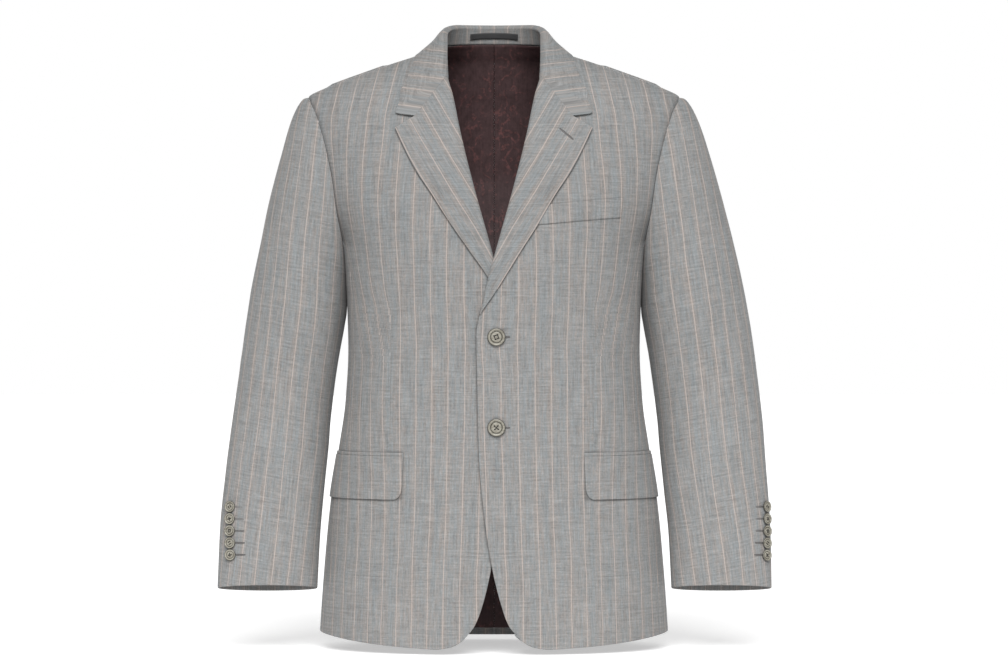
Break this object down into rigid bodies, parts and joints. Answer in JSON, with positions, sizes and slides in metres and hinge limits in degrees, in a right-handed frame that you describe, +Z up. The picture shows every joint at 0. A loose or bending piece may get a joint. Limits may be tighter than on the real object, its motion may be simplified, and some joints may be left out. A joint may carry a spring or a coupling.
{
  "type": "two-button blazer",
  "caption": "Single-breasted tailored wool jacket with notched lapels, flap pockets and a breast welt, buttoned and filled out as when worn, with a lined back.",
  "frame": {"origin": "between the shoulders at the base of the neck, where the wearer or a form holds the garment", "axes": "+Z up to the neck, -Y towards the buttoned front, +X to the wearer's left"},
  "size_m": [0.6994, 0.2652, 0.7888],
  "materials": {
    "wool": "matte grey worsted wool with fine pinkish-cream stripes",
    "lining": "plum satin with a small woven figure",
    "tape": "plain dark twill tape",
    "horn": "grey horn, softly polished"
  },
  "bodies": {
    "root": {"front_left": "wool", "front_right": "wool", "lapel_left": "wool", "lapel_right": "wool", "side_left": "wool", "side_right": "wool", "back_left": "wool", "back_right": "wool", "top_sleeve_left": "wool", "top_sleeve_right": "wool", "under_sleeve_left": "wool", "under_sleeve_right": "wool", "collar": "wool", "breast_welt": "wool", "pocket_flap_left": "wool", "pocket_flap_right": "wool", "pocket_jet_left": "wool", "pocket_jet_right": "wool", "lining_back_left": "lining", "lining_back_right": "lining", "hanger_loop": "tape", "front_button_top": "horn", "front_button_bottom": "horn", "cuff_button_left_1": "horn", "cuff_button_left_2": "horn", "cuff_button_left_3": "horn", "cuff_button_left_4": "horn", "cuff_button_left_5": "horn", "cuff_button_right_1": "horn", "cuff_button_right_2": "horn", "cuff_button_right_3": "horn", "cuff_button_right_4": "horn", "cuff_button_right_5": "horn"}
  },
  "joints": []
}
